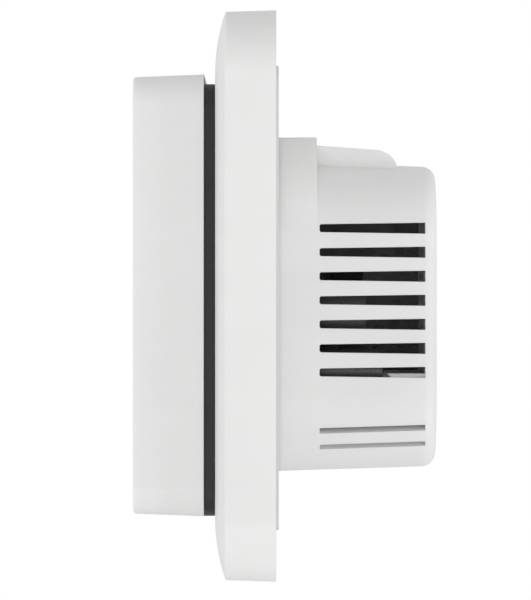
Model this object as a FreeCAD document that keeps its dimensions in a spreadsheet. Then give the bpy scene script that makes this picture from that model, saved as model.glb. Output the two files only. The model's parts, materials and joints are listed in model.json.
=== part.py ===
import FreeCAD, Part
import math
import os
from types import SimpleNamespace

import Sketcher
from FreeCAD import Placement, Rotation, Vector

# Wall thermostat: display module, cover frame, mounting plate and in-wall power box.
# Millimetres. The origin is the centre of the wall plane, which is the mounting plate's back.
# +X is right and +Z up as seen from the room, so the front faces -Y and the wall box is at +Y.
# A "depth" is a distance in front of the wall, so a depth of 5 is at Y = -5.

DRIVING_SIZES = {
    # Cover frame
    "frame_side": 86.0,
    "frame_corner": 9.6,
    "frame_back": 0.4,
    "frame_edge": 8.0,
    "frame_front": 9.6,
    "frame_draft": 1.8,
    "pillow_width": 9.4,
    "pillow_corner": 1.2,
    "frame_hollow": 82.0,
    "hollow_corner": 7.6,
    "hollow_depth": 6.0,
    "step_side": 70.5,
    "step_depth": 7.6,
    "frame_window": 52.6,
    "frame_window_corner": 3.2,
    # Mounting plate
    "plate_side": 70.0,
    "plate_corner": 3.0,
    "plate_drop": 0.3,
    "plate_thick": 2.2,
    "plate_lip": 4.0,
    "lip_width": 1.6,
    "fixing_spacing": 60.0,
    "fixing_hole": 2.1,
    "fit_gap": 0.3,
    # In-wall housing
    "box_half": 24.1,
    "box_top": 20.85,
    "box_low": 27.15,
    "box_corner": 12.0,
    "box_rear": 24.2,
    "box_draft": 1.8,
    "box_wall": 1.8,
    "box_round": 2.1,
    "box_ceiling": 17.6,
    "flange_half": 25.5,
    "flange_top": 25.8,
    "flange_low": 28.2,
    "flange_corner": 4.0,
    "flange_front": 3.7,
    "head_notch": 3.9,
    "collar_half": 23.7,
    "collar_top": 24.6,
    "collar_corner": 11.65,
    "collar_rear": 5.9,
    "bay_half": 15.2,
    "bay_low": 10.0,
    "bay_top": 23.2,
    "bay_rear": 4.7,
    "hump_half": 15.6,
    "hump_rear": 18.2,
    "hump_top": 23.3,
    "hump_shoulder": 22.5,
    "hump_shoulder_at": 15.65,
    "hump_end": 20.3,
    # Vents in the housing's sides
    "vent_count": 7.0,
    "vent_pitch": 3.67,
    "vent_lowest": -11.65,
    "vent_start": 6.25,
    "vent_end": 22.4,
    "vent_narrow": 0.61,
    "vent_wide": 0.84,
    "vent_bevel": 0.2,
    "corner_vent": 0.95,
    "corner_vent_tilt": 1.2,
    "rib_top": -11.85,
    "rib_tall": 5.0,
    "rib_inner": 18.6,
    "rib_outer": 21.8,
    "rib_front": 16.6,
    "rib_bevel": 1.2,
    # Terminals
    "pole_pitch": 5.0,
    "screw_level": 21.4,
    "screw_radius": 1.45,
    "screw_start": 3.4,
    "screw_end": 7.8,
    "slot_width": 0.5,
    "slot_depth": 0.8,
    "groove_radius": 1.95,
    "entry_width": 3.4,
    "entry_near": 0.4,
    "entry_far": 3.0,
    "cage_width": 4.0,
    "cage_low": 18.6,
    "cage_top": 22.9,
    "cage_near": 0.8,
    "cage_far": 4.6,
    "cage_floor": 0.2,
    "block_low": 16.5,
    "block_rear": 4.65,
    "shoe_thick": 0.5,
    "shoe_near": 2.85,
    # Base cover and power board
    "cover_side": 52.0,
    "cover_corner": 3.0,
    "cover_front": 9.3,
    "cover_wall": 1.5,
    "cover_inner": 7.7,
    "corner_screw": 23.3,
    "board_half": 24.2,
    "board_thick": 1.6,
    "board_notch": 3.0,
    "hook_x": 12.0,
    "hook_z": 23.0,
    "hook_width": 5.0,
    "hook_thick": 1.4,
    "hook_tip": 6.5,
    "socket_z": -15.0,
    "socket_half": 6.5,
    "socket_tall": 5.2,
    "pin_pitch": 2.54,
    "pin_radius": 0.3,
    # Display module
    "back_rear": 9.7,
    "back_front": 11.3,
    "back_half": 32.75,
    "back_low": 33.3,
    "back_top": 32.1,
    "back_corner": 4.0,
    "case_half": 33.45,
    "case_rise": 0.1,
    "case_corner": 4.5,
    "case_front": 22.0,
    "case_draft": 2.2,
    "case_wall": 1.8,
    "case_round": 0.5,
    "module_screw": 28.5,
    "window_half": 23.0,
    "window_low": -9.5,
    "window_top": 24.5,
    "window_deep": 1.2,
    "view_half": 21.0,
    "view_low": -7.0,
    "view_top": 22.5,
    "key_x": 16.0,
    "key_z": -22.0,
    "key_width": 10.8,
    "key_tall": 5.3,
    "key_gap": 0.2,
    "key_corner": 1.2,
    "key_front": 22.1,
    "lamp_x": 27.0,
    "lamp_radius": 0.8,
    "panel_rear": 14.0,
    # Relay in the wall box
    "relay_left": -7.4,
    "relay_right": 13.8,
    "relay_low": -23.6,
    "relay_top": -11.85,
    "relay_rear": 22.2,
    "relay_wall": 0.8,
    "relay_foot": 3.0,
    "coil_x": -1.0,
    "coil_radius": 4.4,
    "yoke_x": 4.3,
    "yoke_thick": 1.2,
}


class Size:
    """A number together with the spreadsheet expression that yields it."""

    def __init__(self, value, text):
        self.value = value
        self.text = text

    def __add__(self, other):
        return combine(self, "+", other)

    def __radd__(self, other):
        return combine(other, "+", self)

    def __sub__(self, other):
        return combine(self, "-", other)

    def __rsub__(self, other):
        return combine(other, "-", self)

    def __mul__(self, other):
        return combine(self, "*", other)

    def __rmul__(self, other):
        return combine(other, "*", self)

    def __truediv__(self, other):
        return combine(self, "/", other)

    def __neg__(self):
        return combine(0, "-", self)


def size(number):
    if isinstance(number, Size):
        return number
    return Size(float(number), repr(float(number)))


def combine(first, sign, second):
    first = size(first)
    second = size(second)
    results = {
        "+": first.value + second.value,
        "-": first.value - second.value,
        "*": first.value * second.value,
        "/": first.value / second.value if second.value else 0.0,
    }
    return Size(results[sign], "(" + first.text + " " + sign + " " + second.text + ")")


doc = FreeCAD.newDocument("wall_thermostat")
sheet = doc.addObject("Spreadsheet::Sheet", "sizes")
for row, (alias, number) in enumerate(DRIVING_SIZES.items(), start=1):
    sheet.set("A%d" % row, alias)
    sheet.set("B%d" % row, repr(number))
    sheet.setAlias("B%d" % row, alias)
doc.recompute()
s = SimpleNamespace(**{alias: Size(number, "sizes." + alias) for alias, number in DRIVING_SIZES.items()})

parts = []


def keep(item, label):
    """Name a finished sub-part and list it for export."""
    item.Label = label
    parts.append(item)
    return item


def drive(item, name, number):
    """Bind one property of an object to the spreadsheet."""
    item.setExpression(name, size(number).text)


# ---------------------------------------------------------------- PartDesign helpers


def new_body(label):
    return keep(doc.addObject("PartDesign::Body", label), label)


def new_sketch(body, role, offset):
    """A sketch parallel to one of the body's own origin planes, offset along its normal."""
    plane = [item for item in body.Origin.OriginFeatures if item.Role == role][0]
    sketch = body.newObject("Sketcher::SketchObject", body.Name + "_sketch")
    sketch.AttachmentSupport = [(plane, "")]
    sketch.MapMode = "FlatFace"
    sketch.AttachmentOffset = Placement(Vector(0, 0, size(offset).value), Rotation())
    drive(sketch, "AttachmentOffset.Base.z", offset)
    return sketch


def face_sketch(body, depth):
    """A sketch in a plane parallel to the wall: across is +X, up is +Z, normal is -Y."""
    return new_sketch(body, "XZ_Plane", depth)


def hold(sketch, kind, element, vertex, number):
    """Dimension a point from the sketch's origin; a zero puts it on the axis."""
    number = size(number)
    if abs(number.value) < 1e-9:
        axis = -2 if kind == "DistanceX" else -1
        sketch.addConstraint(Sketcher.Constraint("PointOnObject", element, vertex, axis))
        return
    rule = Sketcher.Constraint(kind, -1, 1, element, vertex, number.value)
    index = sketch.addConstraint(rule)
    drive(sketch, "Constraints[%d]" % index, number)


def measure(sketch, rule, number):
    index = sketch.addConstraint(rule)
    drive(sketch, "Constraints[%d]" % index, number)


def add_polygon(sketch, corners):
    first = sketch.GeometryCount
    count = len(corners)
    points = [Vector(size(x).value, size(y).value, 0) for x, y in corners]
    for step in range(count):
        sketch.addGeometry(Part.LineSegment(points[step], points[(step + 1) % count]))
    for step in range(count):
        following = first + (step + 1) % count
        sketch.addConstraint(Sketcher.Constraint("Coincident", first + step, 2, following, 1))
    for step, (x, y) in enumerate(corners):
        hold(sketch, "DistanceX", first + step, 1, x)
        hold(sketch, "DistanceY", first + step, 1, y)


def add_circle(sketch, x, y, radius):
    index = sketch.GeometryCount
    centre = Vector(size(x).value, size(y).value, 0)
    sketch.addGeometry(Part.Circle(centre, Vector(0, 0, 1), size(radius).value))
    hold(sketch, "DistanceX", index, 3, x)
    hold(sketch, "DistanceY", index, 3, y)
    measure(sketch, Sketcher.Constraint("Radius", index, size(radius).value), radius)


def add_rectangle(sketch, left, right, low, top):
    add_polygon(sketch, [(left, low), (right, low), (right, top), (left, top)])


def add_rounded(sketch, left, right, low, top, radius):
    """A rectangle with four equal corner arcs."""
    first = sketch.GeometryCount
    x0, x1, y0, y1, r = [size(number).value for number in (left, right, low, top, radius)]
    runs = [
        (Vector(x0 + r, y0, 0), Vector(x1 - r, y0, 0)),
        (Vector(x1, y0 + r, 0), Vector(x1, y1 - r, 0)),
        (Vector(x1 - r, y1, 0), Vector(x0 + r, y1, 0)),
        (Vector(x0, y1 - r, 0), Vector(x0, y0 + r, 0)),
    ]
    for start, end in runs:
        sketch.addGeometry(Part.LineSegment(start, end))
    centres = [(x1 - r, y0 + r), (x1 - r, y1 - r), (x0 + r, y1 - r), (x0 + r, y0 + r)]
    for quarter, (cx, cy) in enumerate(centres):
        circle = Part.Circle(Vector(cx, cy, 0), Vector(0, 0, 1), r)
        begin = math.radians(90 * quarter - 90)
        sketch.addGeometry(Part.ArcOfCircle(circle, begin, begin + math.pi / 2))
    for corner in range(4):
        arc = first + 4 + corner
        following = first + (corner + 1) % 4
        sketch.addConstraint(Sketcher.Constraint("Tangent", first + corner, 2, arc, 1))
        sketch.addConstraint(Sketcher.Constraint("Tangent", arc, 2, following, 1))
    for corner in range(3):
        sketch.addConstraint(Sketcher.Constraint("Equal", first + 4 + corner, first + 5 + corner))
    for side, rule in enumerate(("Horizontal", "Vertical", "Horizontal", "Vertical")):
        sketch.addConstraint(Sketcher.Constraint(rule, first + side))
    measure(sketch, Sketcher.Constraint("Radius", first + 4, r), radius)
    hold(sketch, "DistanceX", first + 3, 1, left)
    hold(sketch, "DistanceX", first + 1, 1, right)
    hold(sketch, "DistanceY", first, 1, low)
    hold(sketch, "DistanceY", first + 2, 1, top)


def add_square(sketch, side, radius):
    add_rounded(sketch, -side / 2, side / 2, -side / 2, side / 2, radius)


def grow(body, sketch, length, rearward=False, taper=None):
    """Pad along the sketch's normal, or against it; the taper narrows it as it grows."""
    before = body.Shape.Volume if body.Tip else 0.0
    feature = body.newObject("PartDesign::Pad", body.Name + "_pad")
    feature.Profile = sketch
    feature.Reversed = rearward
    drive(feature, "Length", length)
    if taper is not None:
        drive(feature, "TaperAngle", -taper)
    doc.recompute()
    if not body.Shape.Volume > before:
        raise RuntimeError(body.Label + ": a pad added nothing")
    return feature


def carve(body, sketch, length, forward=False, taper=None):
    """Pocket against the sketch's normal, or along it when forward."""
    before = body.Shape.Volume
    feature = body.newObject("PartDesign::Pocket", body.Name + "_pocket")
    feature.Profile = sketch
    feature.Reversed = forward
    drive(feature, "Length", length)
    if taper is not None:
        drive(feature, "TaperAngle", -taper)
    doc.recompute()
    if not body.Shape.Volume < before:
        raise RuntimeError(body.Label + ": a pocket cut nothing")
    return feature


def carve_both_ways(body, sketch, length):
    before = body.Shape.Volume
    feature = body.newObject("PartDesign::Pocket", body.Name + "_pocket")
    feature.Profile = sketch
    feature.SideType = "Symmetric"
    drive(feature, "Length", length)
    doc.recompute()
    if not body.Shape.Volume < before:
        raise RuntimeError(body.Label + ": a pocket cut nothing")
    return feature


def repeat(body, originals, sketch, axis, length, count):
    pattern = body.newObject("PartDesign::LinearPattern", body.Name + "_pattern")
    pattern.Originals = originals
    pattern.Direction = (sketch, [axis])
    drive(pattern, "Length", length)
    drive(pattern, "Occurrences", count)
    body.Tip = pattern
    doc.recompute()
    return pattern


def edges_at(shape, y):
    """Names of the edges that lie wholly in the plane Y = y."""
    names = []
    for index, edge in enumerate(shape.Edges, start=1):
        bounds = edge.BoundBox
        if abs(bounds.YMin - y) < 1e-4 and abs(bounds.YMax - y) < 1e-4:
            names.append("Edge%d" % index)
    return names


def round_edges(body, y, radius):
    base = body.Tip
    feature = body.newObject("PartDesign::Fillet", body.Name + "_fillet")
    feature.Base = (base, edges_at(base.Shape, y))
    drive(feature, "Radius", radius)
    doc.recompute()
    return feature


def bevel_edges(body, y, width):
    base = body.Tip
    feature = body.newObject("PartDesign::Chamfer", body.Name + "_chamfer")
    feature.Base = (base, edges_at(base.Shape, y))
    drive(feature, "Size", width)
    doc.recompute()
    return feature


def corner_positions(reach):
    return [(sx * reach, sz * reach) for sx in (-1, 1) for sz in (-1, 1)]


# ---------------------------------------------------------------- Part helpers


def place(item, x, y, z, rotation=None):
    point = Vector(size(x).value, size(y).value, size(z).value)
    item.Placement = Placement(point, rotation or Rotation())
    drive(item, "Placement.Base.x", x)
    drive(item, "Placement.Base.y", y)
    drive(item, "Placement.Base.z", z)


def block(x0, x1, y0, y1, z0, z1):
    item = doc.addObject("Part::Box", "block")
    drive(item, "Length", x1 - x0)
    drive(item, "Width", y1 - y0)
    drive(item, "Height", z1 - z0)
    place(item, x0, y0, z0)
    return item


TOWARD_REAR = Rotation(Vector(1, 0, 0), -90)
ALONG_X = Rotation(Vector(0, 1, 0), 90)


def rod(x, z, radius, y0, y1):
    """A cylinder along Y."""
    item = doc.addObject("Part::Cylinder", "rod")
    drive(item, "Radius", radius)
    drive(item, "Height", size(y1) - y0)
    place(item, x, y0, z, TOWARD_REAR)
    return item


def rod_across(y, z, radius, x0, x1):
    """A cylinder along X."""
    item = doc.addObject("Part::Cylinder", "rod")
    drive(item, "Radius", radius)
    drive(item, "Height", size(x1) - x0)
    place(item, x0, y, z, ALONG_X)
    return item


def join(items):
    item = doc.addObject("Part::MultiFuse", "joined")
    item.Shapes = items
    return item


def subtract(base, tool):
    item = doc.addObject("Part::Cut", "cut")
    item.Base = base
    item.Tool = tool
    return item


def group(items):
    item = doc.addObject("Part::Compound", "group")
    item.Links = items
    return item


# ---------------------------------------------------------------- cover frame


def make_outer_frame():
    """Square cover frame: drafted sides, a shallow domed margin and a flat middle."""
    body = new_body("outer_frame")
    skirt = face_sketch(body, s.frame_back)
    add_square(skirt, s.frame_side, s.frame_corner)
    skirt_height = s.frame_edge - s.frame_back
    grow(body, skirt, skirt_height, taper=s.frame_draft)

    narrowing = (s.frame_edge.value - s.frame_back.value) * math.tan(math.radians(s.frame_draft.value))
    edge_side = s.frame_side - 2 * narrowing
    edge_corner = s.frame_corner - narrowing
    drop = s.frame_front.value - s.frame_edge.value
    width = s.pillow_width.value
    radius = (width * width + drop * drop) / (2 * drop)
    sections = []
    for share in (1.0, 0.8, 0.6, 0.4, 0.2, 0.0):
        out = share * width
        fall = radius - math.sqrt(radius * radius - out * out)
        section = face_sketch(body, s.frame_front - fall)
        corner = s.pillow_corner + (edge_corner - s.pillow_corner) * share
        add_square(section, edge_side - 2 * s.pillow_width * (1 - share), corner)
        sections.append(section)
    dome = body.newObject("PartDesign::AdditiveLoft", "frame_dome")
    dome.Profile = sections[0]
    dome.Sections = sections[1:]
    doc.recompute()
    round_edges(body, -s.frame_edge.value, 0.4)

    hollow = face_sketch(body, s.frame_back)
    add_square(hollow, s.frame_hollow, s.hollow_corner)
    carve(body, hollow, s.hollow_depth - s.frame_back, forward=True)
    step = face_sketch(body, s.hollow_depth)
    add_square(step, s.step_side, s.frame_window_corner)
    carve(body, step, s.step_depth - s.hollow_depth, forward=True)
    ribs = face_sketch(body, s.plate_thick + 0.1)
    for sx in (-1, 1):
        for sz in (-1, 1):
            x = sx * 31.2
            z = sz * 15.0
            add_rectangle(ribs, x - 0.8, x + 0.8, z - 4.0, z + 4.0)
    rib_pad = grow(body, ribs, s.step_depth - s.plate_thick)
    rib_pad.Label = "frame_ribs"
    window = face_sketch(body, s.step_depth - 1.0)
    add_square(window, s.frame_window, s.frame_window_corner)
    carve(body, window, 4.0, forward=True)


# ---------------------------------------------------------------- wall side


def make_mounting_plate():
    """Square plate screwed to the flush box, with the opening that the housing passes through."""
    body = new_body("mounting_plate")
    half = s.plate_side / 2
    outline = face_sketch(body, 0)
    add_rounded(outline, -half, half, -half - s.plate_drop, half - s.plate_drop, s.plate_corner)
    grow(body, outline, s.plate_lip)
    bevel_edges(body, -s.plate_lip.value, 0.3)
    inner = half - s.lip_width
    tray = face_sketch(body, s.plate_lip)
    add_rounded(tray, -inner, inner, -inner - s.plate_drop, inner - s.plate_drop, s.plate_corner - 1.4)
    carve(body, tray, s.plate_lip - s.plate_thick)
    opening = face_sketch(body, s.plate_thick)
    reach = s.box_half + s.fit_gap
    corner = s.box_corner + s.fit_gap
    add_rounded(opening, -reach, reach, -s.box_low - s.fit_gap, s.collar_top + s.fit_gap, corner)
    carve(body, opening, s.plate_thick)
    fixings = face_sketch(body, s.plate_thick)
    for x, z in ((-1, 0), (1, 0), (0, -1), (0, 1)):
        add_circle(fixings, x * s.fixing_spacing / 2, z * s.fixing_spacing / 2, s.fixing_hole)
    for x, z in corner_positions(s.corner_screw):
        add_circle(fixings, x, z, 1.05)
    carve(body, fixings, s.plate_thick)


def make_rear_housing():
    """Flush-box housing: drafted box, collar and screwdriver hump above, vents in both sides."""
    body = new_body("rear_housing")
    box = face_sketch(body, s.plate_thick)
    add_rounded(box, -s.box_half, s.box_half, -s.box_low, s.box_top, s.box_corner)
    grow(body, box, s.box_rear + s.plate_thick, rearward=True, taper=s.box_draft)
    round_edges(body, s.box_rear.value, s.box_round)

    collar = face_sketch(body, s.plate_thick)
    add_rounded(collar, -s.collar_half, s.collar_half, -10, s.collar_top, s.collar_corner)
    grow(body, collar, s.collar_rear + s.plate_thick, rearward=True)

    # The hump's profile lies in the YZ plane: a nearly level top and a shoulder in three facets.
    hump = new_sketch(body, "YZ_Plane", -s.hump_half)
    outline = [(s.collar_rear - 1, s.hump_top), (s.collar_rear - 1, 15), (s.hump_rear, 15)]
    turn_y = s.hump_rear - s.hump_shoulder_at
    turn_z = s.hump_shoulder - s.hump_end
    for along, up in ((1, 0), (0.86, 0.32), (0.58, 0.68), (0, 1)):
        outline.append((s.hump_shoulder_at + turn_y * along, s.hump_end + turn_z * up))
    add_polygon(hump, outline)
    grow(body, hump, 2 * s.hump_half)

    flange = face_sketch(body, s.plate_thick)
    add_rounded(flange, -s.flange_half, s.flange_half, -s.flange_low, s.flange_top, s.flange_corner)
    grow(body, flange, s.flange_front - s.plate_thick)

    cavity = face_sketch(body, s.flange_front)
    reach = s.box_half - s.box_wall
    low = s.box_low - s.box_wall
    corner = s.box_corner - s.box_wall
    add_rounded(cavity, -reach, reach, -low, s.box_ceiling, corner)
    carve(body, cavity, s.flange_front + s.box_rear - s.box_wall, taper=s.box_draft)
    bay = face_sketch(body, s.flange_front)
    add_rectangle(bay, -s.bay_half, s.bay_half, s.bay_low, s.bay_top)
    carve(body, bay, s.flange_front + s.bay_rear)

    # One screwdriver groove for each terminal: a round hole through the collar, open above the hump.
    holes = face_sketch(body, -s.bay_rear + 0.1)
    slots = face_sketch(body, -s.collar_rear)
    for pole in range(6):
        x = (pole - 2.5) * s.pole_pitch
        add_circle(holes, x, s.screw_level, s.groove_radius)
        add_rectangle(slots, x - s.groove_radius, x + s.groove_radius, s.screw_level, 26)
    carve(body, holes, 21)
    carve(body, slots, 19)

    entries = new_sketch(body, "XY_Plane", s.collar_top + 1)
    for pole in range(6):
        x = (pole - 2.5) * s.pole_pitch
        half = s.entry_width / 2
        add_rectangle(entries, x - half, x + half, s.entry_near, s.entry_far)
    carve(body, entries, s.collar_top + 1.2 - s.bay_top)

    # Each side vent widens towards the rear and has bevelled corners at its narrow end.
    vent = new_sketch(body, "YZ_Plane", 0)
    level = s.vent_lowest
    start = s.vent_start
    add_polygon(vent, [
        (start + s.vent_bevel, level - s.vent_narrow),
        (s.vent_end, level - s.vent_wide),
        (s.vent_end, level + s.vent_wide),
        (start + s.vent_bevel, level + s.vent_narrow),
        (start, level + s.vent_narrow - s.vent_bevel),
        (start, level - s.vent_narrow + s.vent_bevel),
    ])
    vent_cut = carve_both_ways(body, vent, 60)
    spread = s.vent_pitch * (s.vent_count - 1)
    repeat(body, [vent_cut], vent, "V_Axis", spread, s.vent_count)

    # Two more vents on each side cut radially through the lower corners. They rise a little
    # towards the rear, and the shift keeps their start level with the side vents.
    tilt = s.corner_vent_tilt.value
    radial = face_sketch(body, 20 * math.sin(math.radians(tilt)) - s.vent_start)
    radial.AttachmentOffset = Placement(radial.AttachmentOffset.Base, Rotation(Vector(1, 0, 0), tilt))
    centre_x = s.box_half - s.box_corner
    centre_z = -s.box_low + s.box_corner
    for side in (-1, 1):
        for degrees in (-27.8, -43.0):
            along_x = side * math.cos(math.radians(degrees))
            along_z = math.sin(math.radians(degrees))
            shape = []
            for out, across in ((9, -0.5), (14, -0.5), (14, 0.5), (9, 0.5)):
                x = side * centre_x + out * along_x - across * s.corner_vent * along_z
                z = centre_z + out * along_z + across * s.corner_vent * along_x
                shape.append((x, z))
            add_polygon(radial, shape)
    carve(body, radial, s.vent_end - s.vent_start)

    # A short rib stiffens each rear corner. Its bevelled end shows through the lowest side vent.
    for start in (s.rib_inner, -s.rib_outer):
        rib = new_sketch(body, "YZ_Plane", start)
        foot = s.rib_top - s.rib_tall
        add_polygon(rib, [
            (s.rib_front, s.rib_top),
            (s.vent_end + 0.4, s.rib_top),
            (s.vent_end + 0.4, foot),
            (s.rib_front + s.rib_bevel, foot),
            (s.rib_front + s.rib_bevel, s.rib_top - s.rib_bevel),
        ])
        grow(body, rib, s.rib_outer - s.rib_inner)

    flange_holes = face_sketch(body, s.flange_front)
    for x, z in corner_positions(s.corner_screw):
        add_circle(flange_holes, x, z, 1.45)
    carve(body, flange_holes, s.flange_front - s.plate_thick)
    notch = face_sketch(body, s.flange_front)
    add_circle(notch, 0, -s.fixing_spacing / 2, s.head_notch)
    carve(body, notch, s.flange_front - s.plate_thick)


def make_base_cover():
    """Shallow lid over the power board, with openings for the plug and the module's hooks."""
    body = new_body("base_cover")
    outline = face_sketch(body, s.flange_front)
    add_square(outline, s.cover_side, s.cover_corner)
    grow(body, outline, s.cover_front - s.flange_front)
    bevel_edges(body, -s.cover_front.value, 0.4)
    hollow = face_sketch(body, s.flange_front)
    add_square(hollow, s.cover_side - 2 * s.cover_wall, s.cover_corner - 1.2)
    carve(body, hollow, s.cover_inner - s.flange_front, forward=True)
    posts = face_sketch(body, s.flange_front)
    for x, z in corner_positions(s.corner_screw):
        add_circle(posts, x, z, 2.5)
    grow(body, posts, s.cover_front - s.flange_front - 0.8)
    holes = face_sketch(body, s.flange_front)
    for x, z in corner_positions(s.corner_screw):
        add_circle(holes, x, z, 1.45)
    carve(body, holes, 8, forward=True)
    bores = face_sketch(body, s.cover_front)
    for x, z in corner_positions(s.corner_screw):
        add_circle(bores, x, z, 2.4)
    carve(body, bores, 1.5)
    openings = face_sketch(body, s.cover_front)
    tall = s.socket_tall / 2 + 0.3
    wide = s.socket_half + 0.3
    add_rectangle(openings, -wide, wide, s.socket_z - tall, s.socket_z + tall)
    for sx in (-1, 1):
        for sz in (-1, 1):
            x = sx * s.hook_x
            z = sz * s.hook_z
            reach = s.hook_width / 2 + 0.3
            add_rectangle(openings, x - reach, x + reach, z - 1.3, z + 1.3)
    for step in range(5):
        x = (step - 2) * 4.0
        add_rectangle(openings, x - 0.7, x + 0.7, 2.0, 16.0)
    carve(body, openings, 3)


def make_power_board():
    body = new_body("power_board")
    outline = face_sketch(body, s.flange_front)
    half = s.board_half
    add_rectangle(outline, -half, half, -half, half)
    grow(body, outline, s.board_thick)
    notches = face_sketch(body, s.flange_front)
    for x, z in corner_positions(s.corner_screw):
        add_circle(notches, x, z, s.board_notch)
    carve(body, notches, 4, forward=True)


def pin_positions():
    positions = []
    for column in range(5):
        for line in (-0.5, 0.5):
            positions.append(((column - 2) * s.pin_pitch, s.socket_z + line * s.pin_pitch))
    return positions


def make_board_socket():
    body = new_body("board_socket")
    front = s.flange_front + s.board_thick
    outline = face_sketch(body, front)
    tall = s.socket_tall / 2
    add_rectangle(outline, -s.socket_half, s.socket_half, s.socket_z - tall, s.socket_z + tall)
    grow(body, outline, s.cover_front - front)
    holes = face_sketch(body, s.cover_front)
    for x, z in pin_positions():
        add_circle(holes, x, z, s.pin_radius + 0.12)
    carve(body, holes, 3.7)


# ---------------------------------------------------------------- terminals


def make_terminal_block(label, first_pole, last_pole):
    """Insulating block on the board, open above for the wires and behind for the screws."""
    body = new_body(label)
    half = s.pole_pitch / 2
    left = (first_pole - 2.5) * s.pole_pitch - half
    right = (last_pole - 2.5) * s.pole_pitch + half
    outline = face_sketch(body, s.flange_front)
    add_rectangle(outline, left, right, s.block_low, s.cage_top)
    grow(body, outline, s.flange_front + s.block_rear, rearward=True)
    seats = face_sketch(body, -s.block_rear)
    for pole in range(first_pole, last_pole + 1):
        x = (pole - 2.5) * s.pole_pitch
        reach = s.cage_width / 2
        add_rectangle(seats, x - reach, x + reach, s.cage_low, s.cage_top + 1)
    carve(body, seats, s.block_rear + s.cage_near, forward=True)


def make_terminal_cages():
    """Six brass cages: a floor, two thin cheeks and a thick wall tapped for the screw."""
    cages = []
    for pole in range(6):
        x = (pole - 2.5) * s.pole_pitch
        half = s.cage_width / 2
        outer = block(x - half, x + half, -s.cage_near, s.cage_far, s.cage_low, s.cage_top)
        low = s.cage_low - 1
        window = block(x - 1.6, x + 1.6, s.cage_floor, s.screw_start, low, s.cage_top + 1)
        tapped = rod(x, s.screw_level, s.screw_radius + 0.08, s.screw_start - 1, s.cage_far + 1)
        cages.append(subtract(subtract(outer, window), tapped))
    keep(group(cages), "terminal_cages")


def make_terminal_movers(pole):
    """The pressure shoe that grips the wire, and the headless screw that drives it."""
    number = pole + 1
    x = (pole - 2.5) * s.pole_pitch
    shoe = block(x - 1.5, x + 1.5, s.shoe_near, s.shoe_near + s.shoe_thick, 19.2, 22.7)
    keep(shoe, "pressure_shoe_%d" % number)
    shank = rod(x, s.screw_level, s.screw_radius, s.screw_start, s.screw_end)
    half = s.slot_width / 2
    level = s.screw_level
    start = s.screw_end - s.slot_depth
    slot = block(x - 2, x + 2, start, s.screw_end + 1, level - half, level + half)
    keep(subtract(shank, slot), "terminal_screw_%d" % number)


# ---------------------------------------------------------------- power electronics


def make_housing_screws():
    """Four screws through the base cover and the housing's flange into the mounting plate."""
    screws = []
    for x, z in corner_positions(s.corner_screw):
        shank = rod(x, z, 1.0, -8.2, -0.2)
        head = rod(x, z, 2.2, -9.2, -7.9)
        slot = block(x - 3, x + 3, size(-9.7), size(-8.7), z - 0.3, z + 0.3)
        screws.append(subtract(join([shank, head]), slot))
    keep(group(screws), "housing_screws")


def make_relay():
    """Normally open power relay: foot, hood, coil on a core, yoke, armature and contacts."""
    board = -s.flange_front
    foot_top = board + s.relay_foot
    left = s.relay_left
    right = s.relay_right
    low = s.relay_low
    top = s.relay_top
    keep(block(left, right, board, foot_top, low, top), "relay_foot")
    hood = block(left, right, foot_top, s.relay_rear, low, top)
    wall = s.relay_wall
    inside = block(left + wall, right - wall, foot_top - 1, s.relay_rear - wall, low + wall, top - wall)
    keep(subtract(hood, inside), "relay_hood")

    x = s.coil_x
    z = (low + top) / 2
    winding = rod(x, z, s.coil_radius, foot_top + 1.9, foot_top + 14.5)
    lower = rod(x, z, s.coil_radius + 0.5, foot_top + 1.2, foot_top + 1.9)
    upper = rod(x, z, s.coil_radius + 0.5, foot_top + 14.5, foot_top + 15.2)
    bore = rod(x, z, 1.75, foot_top, foot_top + 17)
    keep(subtract(join([winding, lower, upper]), bore), "relay_coil")

    end = s.yoke_x + s.yoke_thick
    bed = block(x - 2.2, end, foot_top, foot_top + 1, z - 4, z + 4)
    upright = block(s.yoke_x, end, foot_top, foot_top + 16.2, z - 4, z + 4)
    core = rod(x, z, 1.7, foot_top, foot_top + 16)
    keep(join([bed, upright, core]), "relay_yoke")

    # The armature rocks on the yoke's end; its long leg carries the moving contact.
    pivot = foot_top + 16.4
    plate = block(x - 4.6, end + 1.3, pivot, pivot + 1, z - 3.6, z + 3.6)
    leg = block(end + 0.9, end + 1.3, foot_top + 3, pivot + 1, z - 2, z + 2)
    moving = rod_across(foot_top + 4.6, z, 1.2, end + 0.6, end + 1.9)
    keep(join([plate, leg, moving]), "relay_armature")

    blade = block(end + 3.0, end + 3.4, foot_top, foot_top + 7, z - 2, z + 2)
    fixed = rod_across(foot_top + 4.6, z, 1.2, end + 2.4, end + 3.2)
    keep(join([blade, fixed]), "relay_contact")


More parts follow.
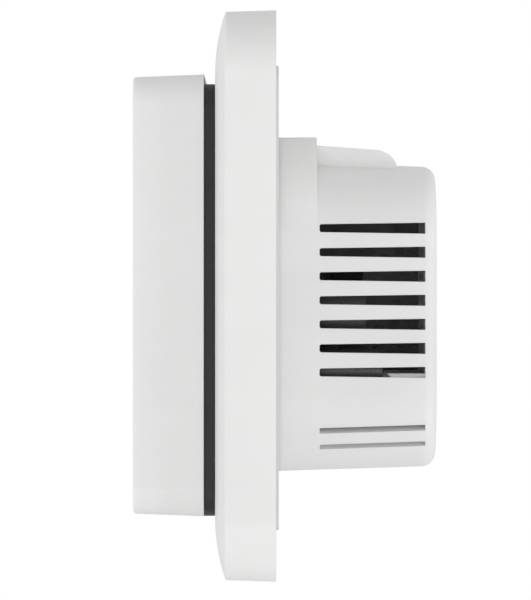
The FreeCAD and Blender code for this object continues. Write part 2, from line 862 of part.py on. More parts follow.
def make_power_parts():
    board = -s.flange_front
    # Mains transformer: a ferrite frame round a taped winding on a moulded bobbin.
    outer = block(size(-20.2), size(-9.0), board + 2.4, board + 15.6, size(-17.4), size(-10.4))
    ring = block(size(-18.4), size(-10.8), board + 4.4, board + 13.6, size(-18), size(-10))
    keep(subtract(outer, ring), "transformer_core")
    winding = block(size(-18.2), size(-11.0), board + 4.6, board + 13.4, size(-19.4), size(-8.4))
    legs = block(size(-18.0), size(-11.2), board, board + 4.7, size(-19.6), size(-17.6))
    keep(join([winding, legs]), "transformer_winding")

    keep(block(size(-20.0), size(-8.4), board, board + 12.0, size(6.2), size(12.2)), "input_capacitor")

    disc = rod_across(board + 5.8, size(11.2), 4.0, size(-4.6), size(-1.0))
    pins = [block(size(-3.2), size(-2.6), board, board + 4, size(z), size(z + 0.6)) for z in (8.6, 13.2)]
    keep(join([disc] + pins), "varistor")

    barrel = rod(4.0, 11.5, 2.1, board + 1.0, board + 9.0)
    foot = rod(4.0, 11.5, 0.35, board, board + 2.0)
    keep(join([barrel, foot]), "fuse")

    keep(rod(17.5, -11.3, 3.5, board, size(15.9)), "reservoir_capacitor")
    keep(rod(17.2, -2.6, 4.2, board, size(13.4)), "output_capacitor")
    # A daughter board stands on edge between the mains parts and the capacitors.
    face = size(-5.8)
    keep(block(face - 1.2, face, board, size(22.3), size(-11.75), size(15.8)), "upright_board")
    keep(block(face, face + 3.2, size(8.6), size(13.4), size(-2.4), size(4.2)), "optocoupler")
    spool = rod(-15.4, 1.2, 2.2, board + 0.8, board + 9.2)
    ends = [rod(-15.4, 1.2, 4.2, board + low, board + low + 1.0) for low in (0.0, 9.0)]
    keep(join([spool] + ends), "filter_choke")


# ---------------------------------------------------------------- display module


def make_back_cover():
    """Back of the display module, with snap hooks that reach into the base cover."""
    body = new_body("display_back_cover")
    outline = face_sketch(body, s.back_rear)
    add_rounded(outline, -s.back_half, s.back_half, -s.back_low, s.back_top, s.back_corner)
    grow(body, outline, s.back_front - s.back_rear)
    rim = face_sketch(body, s.back_front)
    reach = s.case_half - s.case_wall - 0.4
    rise = s.case_rise
    add_rounded(rim, -reach, reach, rise - reach, rise + reach, s.case_corner - s.case_wall)
    inner = reach - 1.2
    add_rounded(rim, -inner, inner, rise - inner, rise + inner, 1.5)
    grow(body, rim, 1.2)
    posts = face_sketch(body, s.back_front)
    for x in (-20.0, 20.0):
        for z in (-27.0, 27.6):
            add_circle(posts, x, z, 1.5)
    grow(body, posts, s.panel_rear - s.back_front)

    shanks = face_sketch(body, s.back_rear)
    lips = face_sketch(body, s.hook_tip)
    half = s.hook_width / 2
    for sx in (-1, 1):
        for sz in (-1, 1):
            x = sx * s.hook_x
            inner_z = sz * (s.hook_z - s.hook_thick / 2)
            outer_z = sz * (s.hook_z + s.hook_thick / 2)
            lip_z = sz * (s.hook_z + s.hook_thick / 2 + 0.4)
            add_rectangle(shanks, x - half, x + half, inner_z, outer_z)
            add_rectangle(lips, x - half, x + half, inner_z, lip_z)
    grow(body, shanks, s.back_rear - s.hook_tip, rearward=True)
    grow(body, lips, 0.9)

    holes = face_sketch(body, s.back_rear)
    tall = s.socket_tall / 2 + 0.2
    wide = s.socket_half + 0.15
    add_rectangle(holes, -wide, wide, s.socket_z - tall, s.socket_z + tall)
    for x, z in corner_positions(s.module_screw):
        add_circle(holes, x, z, 1.3)
    carve(body, holes, 2, forward=True)
    bores = face_sketch(body, s.back_rear)
    for x, z in corner_positions(s.module_screw):
        add_circle(bores, x, z, 2.5)
    carve(body, bores, 1.0, forward=True)


def make_front_cover():
    """Drafted front shell with the window recess, three key openings and sensor vents below."""
    body = new_body("front_cover")
    half = s.case_half
    rise = s.case_rise
    deep = s.case_front - s.back_front
    outline = face_sketch(body, s.back_front)
    add_rounded(outline, -half, half, rise - half, rise + half, s.case_corner)
    grow(body, outline, deep, taper=s.case_draft)
    round_edges(body, -s.case_front.value, s.case_round)
    inner = half - s.case_wall
    hollow = face_sketch(body, s.back_front)
    add_rounded(hollow, -inner, inner, rise - inner, rise + inner, s.case_corner - s.case_wall)
    carve(body, hollow, deep - s.case_wall, forward=True, taper=s.case_draft)
    bosses = face_sketch(body, s.back_front + 1.3)
    for x, z in corner_positions(s.module_screw):
        add_circle(bosses, x, z, 2.6)
    grow(body, bosses, deep - s.case_wall - 1.3 + 0.1)
    pilots = face_sketch(body, s.back_front + 1.3)
    for x, z in corner_positions(s.module_screw):
        add_circle(pilots, x, z, 1.1)
    carve(body, pilots, 6.5, forward=True)

    recess = face_sketch(body, s.case_front)
    add_rounded(recess, -s.window_half, s.window_half, s.window_low, s.window_top, 1.5)
    carve(body, recess, s.window_deep)
    openings = face_sketch(body, s.case_front)
    add_rounded(openings, -s.view_half, s.view_half, s.view_low, s.view_top, 1.0)
    wide = s.key_width / 2 + s.key_gap
    tall = s.key_tall / 2 + s.key_gap
    for side in (-1, 0, 1):
        x = side * s.key_x
        add_rounded(openings, x - wide, x + wide, s.key_z - tall, s.key_z + tall, s.key_corner)
    add_circle(openings, s.lamp_x, s.key_z, s.lamp_radius + 0.05)
    carve(body, openings, 2.5)

    vent = new_sketch(body, "XY_Plane", -half - 1)
    add_rectangle(vent, -26.0, -24.8, -19.0, -13.6)
    vent_cut = carve(body, vent, 4.5, forward=True)
    repeat(body, [vent_cut], vent, "H_Axis", 18.2, 8)


def make_display_window():
    body = new_body("display_window")
    rear = s.case_front - s.window_deep
    outline = face_sketch(body, rear)
    reach = s.window_half - 0.08
    add_rounded(outline, -reach, reach, s.window_low + 0.08, s.window_top - 0.08, 1.42)
    grow(body, outline, s.window_deep)
    bevel_edges(body, -s.case_front.value, 0.15)


def make_display_stack():
    """Board with the liquid-crystal panel, its light guide, holder and contact strip."""
    board = new_body("display_board")
    outline = face_sketch(board, s.panel_rear)
    add_rectangle(outline, -30, 30, -30, 30.2)
    grow(board, outline, s.board_thick)
    notches = face_sketch(board, s.panel_rear)
    for x, z in corner_positions(s.module_screw):
        add_circle(notches, x, z, 3.2)
    carve(board, notches, 3, forward=True)

    front = -(s.panel_rear + s.board_thick)
    keep(block(size(-22), size(22), front - 4.5, front - 1.9, size(-8.4), size(23.6)), "display_panel")
    keep(block(size(-21.6), size(21.6), front - 1.8, front - 0.1, size(-5.2), size(23.4)), "light_guide")
    keep(block(size(-20), size(20), front - 1.9, front, size(-8.0), size(-6.0)), "contact_strip")
    outer = block(size(-23.6), size(23.6), front - 4.4, front, size(-10.0), size(25.2))
    inner = block(size(-22.2), size(22.2), front - 6, front + 1, size(-8.6), size(23.8))
    keep(subtract(outer, inner), "display_holder")


def make_display_parts():
    front = -(s.panel_rear + s.board_thick)
    rear = -s.panel_rear
    keep(block(size(-19), size(-9), rear, rear + 1.4, size(4), size(14)), "controller_chip")
    keep(rod(14.0, 10.0, 5.0, rear, rear + 1.8), "backup_cell")

    bead = rod_across(front - 1.8, size(-28.4), 1.1, size(-18.6), size(-15.8))
    leads = [block(size(x), size(x + 0.5), front - 1.8, front, size(-28.65), size(-28.15))
             for x in (-18.2, -16.7)]
    keep(join([bead] + leads), "room_sensor")

    lamp = block(s.lamp_x - 0.8, s.lamp_x + 0.8, front - 0.8, front, s.key_z - 0.8, s.key_z + 0.8)
    keep(lamp, "status_lamp")
    keep(rod(s.lamp_x, s.key_z, s.lamp_radius, -s.case_front, front - 0.9), "light_pipe")

    switches = []
    for side in (-1, 0, 1):
        x = side * s.key_x
        case = block(x - 3, x + 3, front - 3, front, s.key_z - 3, s.key_z + 3)
        well = rod(x, s.key_z, 1.75, front - 4, front - 2.2)
        switches.append(subtract(case, well))
    keep(group(switches), "key_switches")

    tall = s.socket_tall / 2 - 0.1
    wide = s.socket_half - 0.15
    header = block(-wide, wide, rear, -(s.back_rear + 0.3), s.socket_z - tall, s.socket_z + tall)
    pins = [rod(x, z, s.pin_radius, rear + 0.5, -6.0) for x, z in pin_positions()]
    keep(join([header] + pins), "display_plug")

    screws = []
    for x, z in corner_positions(s.module_screw):
        shank = rod(x, z, 1.0, -18.0, -10.3)
        head = rod(x, z, 2.3, -10.6, -9.8)
        slot = block(x - 3, x + 3, size(-10.1), size(-9.3), z - 0.3, z + 0.3)
        screws.append(subtract(join([shank, head]), slot))
    keep(group(screws), "display_screws")


def make_key(label, plunger_label, side):
    """A key cap with a retaining flange behind the front wall, and its switch's plunger."""
    body = new_body(label)
    x = side * s.key_x
    flange_front = s.case_front - s.case_wall - 0.1
    flange_rear = flange_front - 0.8
    wide = s.key_width / 2
    tall = s.key_tall / 2
    flange = face_sketch(body, flange_rear)
    add_rounded(flange, x - wide - 0.8, x + wide + 0.8, s.key_z - tall - 0.8, s.key_z + tall + 0.8, 1.5)
    grow(body, flange, flange_front - flange_rear)
    cap = face_sketch(body, flange_front)
    add_rounded(cap, x - wide, x + wide, s.key_z - tall, s.key_z + tall, s.key_corner - s.key_gap)
    grow(body, cap, s.key_front - flange_front)
    round_edges(body, -s.key_front.value, 0.3)
    keep(rod(x, s.key_z, 1.6, -flange_rear, -18.4), plunger_label)


def check_and_export():
    doc.recompute()
    failures = []
    for item in doc.Objects:
        if "Invalid" in item.State or "Error" in item.State:
            failures.append(item.Label + " failed to recompute")
    for item in parts:
        if item.Shape.isNull() or not item.Shape.isValid():
            failures.append(item.Label + " has no valid shape")
    if failures:
        raise RuntimeError("; ".join(failures))
    os.makedirs("parts", exist_ok=True)
    for item in parts:
        item.Shape.exportStep(os.path.join("parts", item.Label + ".step"))
        print("%-24s solids %d volume %.2f" % (item.Label, len(item.Shape.Solids), item.Shape.Volume))
    print(len(parts), "sub-parts written")


make_mounting_plate()
make_rear_housing()
make_base_cover()
make_power_board()
make_board_socket()
make_terminal_block("terminal_block_mains", 0, 3)
make_terminal_block("terminal_block_sensor", 4, 5)
make_terminal_cages()
for pole_index in range(6):
    make_terminal_movers(pole_index)
make_housing_screws()
make_relay()
make_power_parts()
make_outer_frame()
make_back_cover()
make_front_cover()
make_display_window()
make_display_stack()
make_display_parts()
make_key("key_down", "plunger_down", -1)
make_key("key_enter", "plunger_enter", 0)
make_key("key_up", "plunger_up", 1)
check_and_export()
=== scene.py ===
import json
import math

import bmesh
import bpy
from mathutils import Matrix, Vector


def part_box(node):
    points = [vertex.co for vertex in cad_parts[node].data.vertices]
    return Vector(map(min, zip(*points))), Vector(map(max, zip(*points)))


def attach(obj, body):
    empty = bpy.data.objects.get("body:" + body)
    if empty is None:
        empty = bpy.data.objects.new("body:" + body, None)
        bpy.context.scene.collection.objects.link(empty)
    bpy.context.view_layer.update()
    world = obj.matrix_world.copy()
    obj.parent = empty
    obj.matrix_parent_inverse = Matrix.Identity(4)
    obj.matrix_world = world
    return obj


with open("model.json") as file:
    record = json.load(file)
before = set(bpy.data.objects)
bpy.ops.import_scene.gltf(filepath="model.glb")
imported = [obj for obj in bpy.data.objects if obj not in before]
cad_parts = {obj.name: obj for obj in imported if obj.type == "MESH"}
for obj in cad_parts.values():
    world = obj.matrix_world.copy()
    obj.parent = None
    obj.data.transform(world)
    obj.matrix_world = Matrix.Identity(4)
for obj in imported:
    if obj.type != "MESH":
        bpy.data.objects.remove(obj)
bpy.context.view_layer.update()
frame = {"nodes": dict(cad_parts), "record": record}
nodes = frame["nodes"]
MM = 0.001


# ---------------------------------------------------------------- node helpers


def new_material(name):
    """A material with an empty node tree, its output and one Principled shader."""
    material = bpy.data.materials.new(name)
    material.use_nodes = True
    tree = material.node_tree
    tree.nodes.clear()
    output = tree.nodes.new("ShaderNodeOutputMaterial")
    shader = tree.nodes.new("ShaderNodeBsdfPrincipled")
    tree.links.new(shader.outputs["BSDF"], output.inputs["Surface"])
    return material, tree, shader


def object_coordinates(tree, stretch=(1, 1, 1)):
    """The piece's own coordinates, scaled by stretch along each axis."""
    source = tree.nodes.new("ShaderNodeTexCoord")
    mapping = tree.nodes.new("ShaderNodeMapping")
    mapping.inputs["Scale"].default_value = stretch
    tree.links.new(source.outputs["Object"], mapping.inputs["Vector"])
    return mapping.outputs["Vector"]


def noise(tree, vector, scale, detail=4.0, roughness=0.55):
    """Soft noise; scale is in cycles a metre."""
    node = tree.nodes.new("ShaderNodeTexNoise")
    node.inputs["Scale"].default_value = scale
    node.inputs["Detail"].default_value = detail
    node.inputs["Roughness"].default_value = roughness
    tree.links.new(vector, node.inputs["Vector"])
    return node.outputs["Fac"]


def remap(tree, value, low, high, start=0.3, end=0.7):
    """Turn start..end of the value into low..high."""
    node = tree.nodes.new("ShaderNodeMapRange")
    node.inputs["From Min"].default_value = start
    node.inputs["From Max"].default_value = end
    node.inputs["To Min"].default_value = low
    node.inputs["To Max"].default_value = high
    tree.links.new(value, node.inputs["Value"])
    return node.outputs["Result"]


def ramp(tree, value, stops):
    """Colours along the value; stops are (position, colour) pairs."""
    node = tree.nodes.new("ShaderNodeValToRGB")
    elements = node.color_ramp.elements
    while len(elements) < len(stops):
        elements.new(0.5)
    for element, (position, colour) in zip(elements, stops):
        element.position = position
        element.color = (*colour, 1.0)
    tree.links.new(value, node.inputs["Fac"])
    return node.outputs["Color"]


def mix(tree, factor, first, second):
    """A blend of two plain colours."""
    node = tree.nodes.new("ShaderNodeMix")
    node.data_type = "RGBA"
    tree.links.new(factor, node.inputs["Factor"])
    node.inputs["A"].default_value = (*first, 1.0)
    node.inputs["B"].default_value = (*second, 1.0)
    return node.outputs["Result"]


def bump(tree, height, depth, normal=None):
    """Raise the surface by height; depth is in metres. Another normal can be passed through."""
    node = tree.nodes.new("ShaderNodeBump")
    node.inputs["Strength"].default_value = 1.0
    node.inputs["Distance"].default_value = depth
    tree.links.new(height, node.inputs["Height"])
    if normal is not None:
        tree.links.new(normal, node.inputs["Normal"])
    return node.outputs["Normal"]


def softened_edges(tree, radius):
    """Normals that round the piece's sharp edges in shading; radius is in metres."""
    node = tree.nodes.new("ShaderNodeBevel")
    node.samples = 6
    node.inputs["Radius"].default_value = radius
    return node.outputs["Normal"]


def shade(colour, factor):
    """The colour made lighter or darker, never above 1."""
    return tuple(min(1.0, channel * factor) for channel in colour)


# ---------------------------------------------------------------- materials


PLASTIC_EDGE = 0.00015
METAL_EDGE = 0.00008
BOARD_EDGE = 0.0001
SCATTER_RADIUS = (0.0025, 0.0024, 0.0023)


def moulded_plastic(name, colour, roughness=0.45, grain=2600.0, depth=0.000012, variation=0.03,
                    subsurface=0.0):
    """Injection-moulded plastic: spark-eroded grain, faint flow clouding and softened edges."""
    material, tree, shader = new_material(name)
    vector = object_coordinates(tree)
    clouds = noise(tree, vector, 45.0, detail=3.0)
    flow = noise(tree, object_coordinates(tree, (1.0, 0.35, 1.4)), 240.0, detail=5.0)
    dull = shade(colour, 1 - variation)
    bright = shade(colour, 1 + variation * 0.5)
    base = ramp(tree, clouds, [(0.3, dull), (0.7, bright)])
    streaks = ramp(tree, flow, [(0.35, shade(colour, 1 - variation * 0.8)), (0.65, colour)])
    blend = tree.nodes.new("ShaderNodeMix")
    blend.data_type = "RGBA"
    blend.inputs["Factor"].default_value = 0.4
    tree.links.new(base, blend.inputs["A"])
    tree.links.new(streaks, blend.inputs["B"])
    tree.links.new(blend.outputs["Result"], shader.inputs["Base Color"])
    fine = noise(tree, vector, grain, detail=2.0)
    tree.links.new(remap(tree, fine, roughness - 0.05, roughness + 0.06), shader.inputs["Roughness"])
    normal = bump(tree, fine, depth, softened_edges(tree, PLASTIC_EDGE))
    tree.links.new(normal, shader.inputs["Normal"])
    shader.inputs["IOR"].default_value = 1.5
    if subsurface:
        shader.inputs["Subsurface Weight"].default_value = subsurface
        shader.inputs["Subsurface Scale"].default_value = 1.0
        shader.inputs["Subsurface Radius"].default_value = SCATTER_RADIUS
    return material


def metal(name, colour, roughness, stretch=(1, 1, 1)):
    """Machined or rolled metal: directional marks, uneven sheen and faint tarnish."""
    material, tree, shader = new_material(name)
    vector = object_coordinates(tree, stretch)
    marks = noise(tree, vector, 900.0, detail=6.0, roughness=0.7)
    tarnish = noise(tree, object_coordinates(tree), 160.0, detail=4.0)
    tone = ramp(tree, tarnish, [(0.35, shade(colour, 0.82)), (0.7, colour)])
    tree.links.new(tone, shader.inputs["Base Color"])
    tree.links.new(remap(tree, marks, roughness - 0.1, roughness + 0.14), shader.inputs["Roughness"])
    normal = bump(tree, marks, 0.000006, softened_edges(tree, METAL_EDGE))
    tree.links.new(normal, shader.inputs["Normal"])
    shader.inputs["Metallic"].default_value = 1.0
    return material


def circuit_board(name, mask, track):
    """Solder mask with faint raised tracks beneath it."""
    material, tree, shader = new_material(name)
    vector = object_coordinates(tree)
    cells = tree.nodes.new("ShaderNodeTexVoronoi")
    cells.distance = "CHEBYCHEV"
    cells.inputs["Scale"].default_value = 420.0
    tree.links.new(vector, cells.inputs["Vector"])
    lines = remap(tree, cells.outputs["Distance"], 0.0, 1.0, 0.28, 0.34)
    tree.links.new(mix(tree, lines, mask, track), shader.inputs["Base Color"])
    normal = bump(tree, lines, 0.00003, softened_edges(tree, BOARD_EDGE))
    tree.links.new(normal, shader.inputs["Normal"])
    gloss = noise(tree, vector, 900.0)
    tree.links.new(remap(tree, gloss, 0.28, 0.42), shader.inputs["Roughness"])
    return material


def wound_wire(name, colour):
    """Enamelled wire laid in turns along Y, with painted shade in the grooves between turns."""
    material, tree, shader = new_material(name)
    vector = object_coordinates(tree)
    wave = tree.nodes.new("ShaderNodeTexWave")
    wave.bands_direction = "Y"
    wave.inputs["Scale"].default_value = 900.0
    wave.inputs["Distortion"].default_value = 0.6
    tree.links.new(vector, wave.inputs["Vector"])
    height = wave.outputs["Fac"]
    # The colour darkens to 45 % where the wave is low: painted shade in the grooves between turns.
    tone = ramp(tree, height, [(0.1, shade(colour, 0.45)), (0.6, colour)])
    tree.links.new(tone, shader.inputs["Base Color"])
    tree.links.new(bump(tree, height, 0.00008), shader.inputs["Normal"])
    tree.links.new(remap(tree, noise(tree, vector, 700.0), 0.25, 0.4), shader.inputs["Roughness"])
    shader.inputs["Metallic"].default_value = 0.7
    return material


def tinted_window(name):
    """Smoked, polished acrylic: the lit display shows through, everything else stays dark."""
    material, tree, shader = new_material(name)
    vector = object_coordinates(tree)
    smoke = noise(tree, vector, 30.0, detail=2.0)
    tint = ramp(tree, smoke, [(0.3, (0.16, 0.17, 0.18)), (0.7, (0.19, 0.2, 0.21))])
    tree.links.new(tint, shader.inputs["Base Color"])
    polish = noise(tree, vector, 120.0, detail=5.0)
    tree.links.new(remap(tree, polish, 0.03, 0.06), shader.inputs["Roughness"])
    tree.links.new(bump(tree, polish, 0.000002), shader.inputs["Normal"])
    shader.inputs["Transmission Weight"].default_value = 1.0
    shader.inputs["IOR"].default_value = 1.49
    return material


def clear_plastic(name):
    """Clear plastic with a faint haze, for the light guide and the light pipe."""
    material, tree, shader = new_material(name)
    vector = object_coordinates(tree)
    haze = noise(tree, vector, 260.0, detail=3.0)
    tint = ramp(tree, haze, [(0.3, (0.86, 0.88, 0.88)), (0.7, (0.93, 0.94, 0.94))])
    tree.links.new(tint, shader.inputs["Base Color"])
    tree.links.new(remap(tree, haze, 0.12, 0.22), shader.inputs["Roughness"])
    tree.links.new(bump(tree, haze, 0.000004), shader.inputs["Normal"])
    shader.inputs["Transmission Weight"].default_value = 0.85
    return material


def lit_segment(name, colour, strength):
    """A lit mark of the display, a little uneven in tone."""
    material, tree, shader = new_material(name)
    vector = object_coordinates(tree)
    glow = noise(tree, vector, 500.0, detail=2.0)
    tone = ramp(tree, glow, [(0.3, shade(colour, 0.88)), (0.7, colour)])
    tree.links.new(tone, shader.inputs["Base Color"])
    tree.links.new(tone, shader.inputs["Emission Color"])
    shader.inputs["Emission Strength"].default_value = strength
    tree.links.new(remap(tree, glow, 0.4, 0.5), shader.inputs["Roughness"])
    tree.links.new(bump(tree, glow, 0.000003), shader.inputs["Normal"])
    return material


WHITE = (0.82, 0.82, 0.815)
# The plain white is brighter than the satin white. Its rougher, more scattering finish is real, but
# the extra brightness is painted light, standing in for the light that the frame's shadow takes from
# the housing behind it.
WHITE_PLAIN_WITH_PAINTED_LIGHT = (0.86, 0.86, 0.855)
finish = {
    "white_satin": moulded_plastic("white_satin", WHITE, 0.42, subsurface=0.12),
    "white_plain": moulded_plastic("white_plain", WHITE_PLAIN_WITH_PAINTED_LIGHT, 0.5, grain=1900.0, depth=0.00001,
                                   variation=0.035, subsurface=0.2),
    "white_gloss": moulded_plastic("white_gloss", (0.85, 0.85, 0.84), 0.28, grain=900.0,
                                   depth=0.000004),
    "black_moulding": moulded_plastic("black_moulding", (0.016, 0.016, 0.0175), 0.5, grain=3000.0,
                                      variation=0.15),
    "dark_window": tinted_window("dark_window"),
    "panel_glass": moulded_plastic("panel_glass", (0.012, 0.013, 0.015), 0.2, grain=400.0,
                                   depth=0.000003),
    "clear_plastic": clear_plastic("clear_plastic"),
    "board_green": circuit_board("board_green", (0.02, 0.11, 0.05), (0.04, 0.17, 0.08)),
    "board_dark": circuit_board("board_dark", (0.16, 0.17, 0.165), (0.21, 0.22, 0.215)),
    "steel": metal("steel", (0.62, 0.62, 0.61), 0.32),
    "brass": metal("brass", (0.72, 0.53, 0.24), 0.3, stretch=(1, 4, 1)),
    "copper": wound_wire("copper", (0.62, 0.27, 0.13)),
    "ferrite": moulded_plastic("ferrite", (0.09, 0.09, 0.092), 0.62, grain=1500.0, depth=0.00003,
                               variation=0.2),
    "black_sleeve": moulded_plastic("black_sleeve", (0.10, 0.10, 0.105), 0.3, grain=700.0,
                                    variation=0.15),
    "grey_case": moulded_plastic("grey_case", (0.13, 0.135, 0.14), 0.45, variation=0.1),
    "blue_lacquer": moulded_plastic("blue_lacquer", (0.03, 0.09, 0.3), 0.25, grain=500.0,
                                    variation=0.1),
    "green_terminal": moulded_plastic("green_terminal", (0.11, 0.12, 0.125), 0.5, variation=0.1),
    "soft_rubber": moulded_plastic("soft_rubber", (0.1, 0.1, 0.11), 0.7, grain=1200.0,
                                   variation=0.1),
}
for part in frame["record"]["subparts"]:
    piece = nodes[part["node"]]
    piece.data.materials.clear()
    piece.data.materials.append(finish[part["material_slot"]])


# ---------------------------------------------------------------- display reading and key marks

# All sizes and places below are in millimetres. The reading floats just in front of the panel;
# each key mark is sunk into its key and stands a little proud of it.
READING_GAP = 0.02
READING_THICK = 0.1
MARK_PROUD = 0.01
MARK_THICK = 0.06
FIGURE_LEAN = 0.08
READING_LEFT = -15.2
LEVEL_BARS = 9
LEVEL_PITCH = 3.5
LEVEL_LENGTH = 2.7
HEATING_BARS = 3
FLAME_X, FLAME_Z = -14.0, 19.3
CLOCK_Z = 18.2
CHEVRON = ((-1.5, -0.75), (-1.2, -1.05), (0.0, 0.55), (1.2, -1.05), (1.5, -0.75), (0.0, 1.15))
TERMINAL_NUMBER_Z = 15.0
TERMINAL_NUMBER_SIZE = 2.4


def front_of(node):
    """The Y of a CAD node's front."""
    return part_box(node)[0][1] / MM


def middle_of(node):
    """The x and z of a CAD node's middle."""
    low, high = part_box(node)
    return (low[0] + high[0]) / 2 / MM, (low[2] + high[2]) / 2 / MM


def add_prism(shape, outline, near, far):
    """A flat prism: the outline is (x, z), near and far are its Y faces."""
    front = [shape.verts.new((x * MM, near * MM, z * MM)) for x, z in outline]
    rear = [shape.verts.new((x * MM, far * MM, z * MM)) for x, z in outline]
    shape.faces.new(front)
    shape.faces.new(list(reversed(rear)))
    count = len(outline)
    for step in range(count):
        after = (step + 1) % count
        shape.faces.new((front[after], front[step], rear[step], rear[after]))


def add_ring(shape, x, z, radius, width, near, far):
    """A flat ring made of short prisms."""
    segments = 32
    inner = radius - width
    for step in range(segments):
        corners = []
        for reach, turn in ((radius, step), (radius, step + 1), (inner, step + 1), (inner, step)):
            angle = math.tau * turn / segments
            corners.append((x + reach * math.cos(angle), z + reach * math.sin(angle)))
        add_prism(shape, corners, near, far)


def add_piece(name, shape, material, body):
    """Turn the shape into a piece that rides a body and takes the given material."""
    bmesh.ops.remove_doubles(shape, verts=shape.verts, dist=0.000001)
    bmesh.ops.recalc_face_normals(shape, faces=shape.faces)
    mesh = bpy.data.meshes.new(name)
    shape.to_mesh(mesh)
    shape.free()
    piece = bpy.data.objects.new(name, mesh)
    bpy.context.scene.collection.objects.link(piece)
    piece.data.materials.append(material)
    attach(piece, body)


# Which of the seven bars each figure lights: top, upper right, lower right, bottom, lower left,
# upper left, middle.
FIGURES = {"0": "1111110", "1": "0110000", "2": "1101101", "4": "0110011", "5": "1011011"}


def add_figure(shape, figure, x, z, tall, near, far):
    """One seven-bar figure with its lower left corner at x, z; it leans a little to the right."""
    wide = tall * 0.52
    thick = tall * 0.11
    gap = tall * 0.018
    half = tall / 2
    bars = [
        ((0, tall), (wide, tall)), ((wide, tall), (wide, half)), ((wide, half), (wide, 0)),
        ((0, 0), (wide, 0)), ((0, half), (0, 0)), ((0, tall), (0, half)), ((0, half), (wide, half)),
    ]
    for lit, (start, end) in zip(FIGURES[figure], bars):
        if lit == "0":
            continue
        length = math.hypot(end[0] - start[0], end[1] - start[1])
        along = ((end[0] - start[0]) / length, (end[1] - start[1]) / length)
        across = (-along[1], along[0])
        near_end = gap + thick / 2
        far_end = length - gap - thick / 2
        outline = []
        for reach, side in ((gap, 0), (near_end, 1), (far_end, 1),
                            (length - gap, 0), (far_end, -1), (near_end, -1)):
            px = start[0] + along[0] * reach + across[0] * side * thick / 2
            pz = start[1] + along[1] * reach + across[1] * side * thick / 2
            outline.append((x + px + FIGURE_LEAN * pz, z + pz))
        add_prism(shape, outline, near, far)


def add_dot(shape, x, z, radius, near, far, segments=20):
    """A round dot."""
    outline = []
    for step in range(segments):
        angle = math.tau * step / segments
        outline.append((x + radius * math.cos(angle), z + radius * math.sin(angle)))
    add_prism(shape, outline, near, far)


def add_bars(shape, count, low, high, near, far):
    """A row of equal bars from the reading's left edge."""
    for bar in range(count):
        left = READING_LEFT + bar * LEVEL_PITCH
        right = left + LEVEL_LENGTH
        outline = [(left, low), (right, low), (right, high), (left, high)]
        add_prism(shape, outline, near, far)


def flame_outline():
    """A rounded drop with a leaning tip."""
    steps = 28
    outline = []
    for step in range(steps):
        angle = math.tau * step / steps
        up = math.sin(angle)
        reach = 1.55 + 0.25 * math.sin(angle * 3)
        lean = 0.35 * up ** 3
        stretch = 1.0 + 0.75 * max(0.0, up) ** 4
        x = reach * math.cos(angle) * (1 - 0.25 * up) + lean
        z = 1.2 * stretch * up
        outline.append((FLAME_X + x, FLAME_Z + z))
    return outline


def make_reading():
    """The lit reading behind the smoked window: temperature, time, flame and level bars."""
    far = front_of("display_panel") - READING_GAP
    near = far - READING_THICK
    shape = bmesh.new()
    for figure, x in (("2", READING_LEFT), ("1", -5.4), ("5", 5.6)):
        add_figure(shape, figure, x, 2.6, 13.0, near, far)
    add_dot(shape, 3.5, 3.0, 0.8, near, far)
    add_ring(shape, 15.6, 14.6, 1.5, 0.5, near, far)
    for figure, x in (("1", 8.0), ("2", 10.4), ("4", 14.2), ("0", 17.0)):
        add_figure(shape, figure, x, CLOCK_Z, 2.9, near, far)
    for rise in (0.7, 2.1):
        add_dot(shape, 13.1 + FIGURE_LEAN * rise, CLOCK_Z + rise, 0.22, near, far, 12)
    add_bars(shape, LEVEL_BARS, -4.2, -3.2, near, far)
    lit_white = lit_segment("reading_white", (0.82, 0.93, 1.0), 4.0)
    add_piece("lit_reading", shape, lit_white, "display_module")

    shape = bmesh.new()
    add_prism(shape, flame_outline(), near, far)
    add_bars(shape, HEATING_BARS, -5.4, -4.9, near, far)
    lit_amber = lit_segment("reading_amber", (1.0, 0.42, 0.08), 3.4)
    add_piece("lit_heating_mark", shape, lit_amber, "display_module")


def make_key_marks():
    """A printed mark on each key: down, confirm, up."""
    ink = moulded_plastic("mark_ink", (0.16, 0.165, 0.17), 0.6, grain=1800.0, depth=0.000004,
                          variation=0.1)
    for name in ("down", "enter", "up"):
        x, z = middle_of("key_" + name)
        near = front_of("key_" + name) - MARK_PROUD
        far = near + MARK_THICK
        shape = bmesh.new()
        if name == "enter":
            add_ring(shape, x, z, 1.25, 0.35, near, far)
        else:
            flip = 1 if name == "up" else -1
            outline = [(x + across, z + flip * up) for across, up in CHEVRON]
            add_prism(shape, outline, near, far)
        add_piece("mark_" + name, shape, ink, "key_%s_press" % name)


def make_terminal_numbers():
    """Numbers 1 to 6, raised on the housing's rear face below the screwdriver grooves."""
    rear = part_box("rear_housing")[1][1]
    for number in range(1, 7):
        text = bpy.data.curves.new("terminal_number_%d" % number, "FONT")
        text.body = str(number)
        text.align_x = "CENTER"
        text.size = TERMINAL_NUMBER_SIZE * MM
        text.extrude = 0.05 * MM
        text.bevel_depth = 0.02 * MM
        piece = bpy.data.objects.new("terminal_number_%d" % number, text)
        piece.rotation_euler = (math.radians(90), 0, math.radians(180))
        x = middle_of("terminal_screw_%d" % number)[0]
        piece.location = (x * MM, rear, TERMINAL_NUMBER_Z * MM)
        bpy.context.scene.collection.objects.link(piece)
        piece.data.materials.append(finish["white_plain"])
        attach(piece, "base")


make_reading()
make_key_marks()
make_terminal_numbers()


# ---------------------------------------------------------------- camera, light and floor

FLOOR_RADIUS = 0.28  # metres
FLOOR_Z = -0.22  # metres
AMBIENT = 0.71  # strength of the light grey surroundings


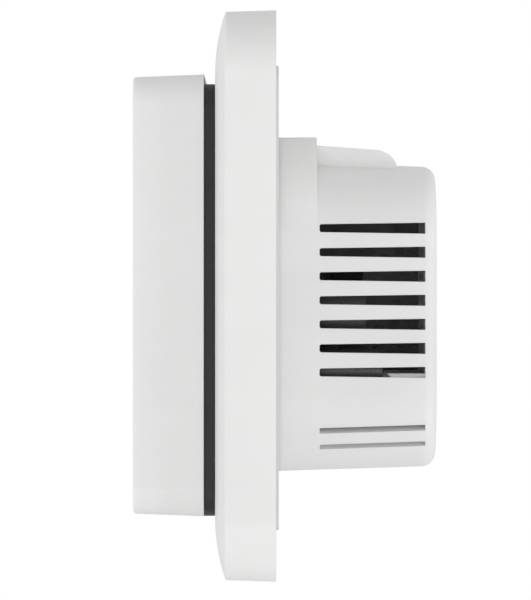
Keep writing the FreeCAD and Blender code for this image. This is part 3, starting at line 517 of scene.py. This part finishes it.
def add_camera():
    """A long lens that looks along -X at the part's side, level with its middle."""
    data = bpy.data.cameras.new("camera")
    data.sensor_width = 36.0
    data.lens = 285.7
    data.clip_start = 0.01
    data.clip_end = 20.0
    camera = bpy.data.objects.new("camera", data)
    camera.location = (0.750, -0.0020, -0.0006)
    camera.rotation_euler = (math.radians(90), 0, math.radians(90))
    bpy.context.scene.collection.objects.link(camera)
    bpy.context.scene.camera = camera


def add_area(name, location, size, power):
    """A square soft light, size in metres and power in watts, aimed at the origin."""
    data = bpy.data.lights.new(name, "AREA")
    data.shape = "RECTANGLE"
    data.size = size
    data.size_y = size
    data.energy = power
    lamp = bpy.data.objects.new(name, data)
    lamp.location = location
    lamp.rotation_euler = (-Vector(location)).to_track_quat("-Z", "Y").to_euler()
    bpy.context.scene.collection.objects.link(lamp)


def add_world():
    """White for the camera, softer light grey for everything else."""
    world = bpy.data.worlds.new("studio")
    bpy.context.scene.world = world
    world.use_nodes = True
    tree = world.node_tree
    tree.nodes.clear()
    output = tree.nodes.new("ShaderNodeOutputWorld")
    seen = tree.nodes.new("ShaderNodeBackground")
    seen.inputs["Color"].default_value = (1, 1, 1, 1)
    seen.inputs["Strength"].default_value = 1.0
    ambient = tree.nodes.new("ShaderNodeBackground")
    ambient.inputs["Color"].default_value = (1, 1, 1, 1)
    ambient.inputs["Strength"].default_value = AMBIENT
    rays = tree.nodes.new("ShaderNodeLightPath")
    chooser = tree.nodes.new("ShaderNodeMixShader")
    tree.links.new(rays.outputs["Is Camera Ray"], chooser.inputs["Fac"])
    tree.links.new(ambient.outputs["Background"], chooser.inputs[1])
    tree.links.new(seen.outputs["Background"], chooser.inputs[2])
    tree.links.new(chooser.outputs["Shader"], output.inputs["Surface"])


def add_floor():
    """A plain pale disc well below the part."""
    mesh = bpy.data.meshes.new("floor")
    shape = bmesh.new()
    bmesh.ops.create_circle(shape, cap_ends=True, segments=96, radius=FLOOR_RADIUS)
    bmesh.ops.translate(shape, verts=shape.verts, vec=(0.0, 0.0, FLOOR_Z))
    shape.to_mesh(mesh)
    shape.free()
    floor = bpy.data.objects.new("floor", mesh)
    bpy.context.scene.collection.objects.link(floor)
    paper = moulded_plastic("floor_paper", (0.9, 0.9, 0.9), 0.8, grain=400.0)
    floor.data.materials.append(paper)


add_camera()
add_world()
add_floor()
add_area("front_light", (0.60, -1.10, -0.40), 0.8, 4.1)
add_area("rear_light", (0.60, 0.90, -0.75), 0.6, 5.4)
add_area("side_light", (1.10, -0.05, -0.35), 0.6, 1.3)
bpy.context.scene.view_settings.view_transform = "Standard"
bpy.context.scene.view_settings.look = "None"
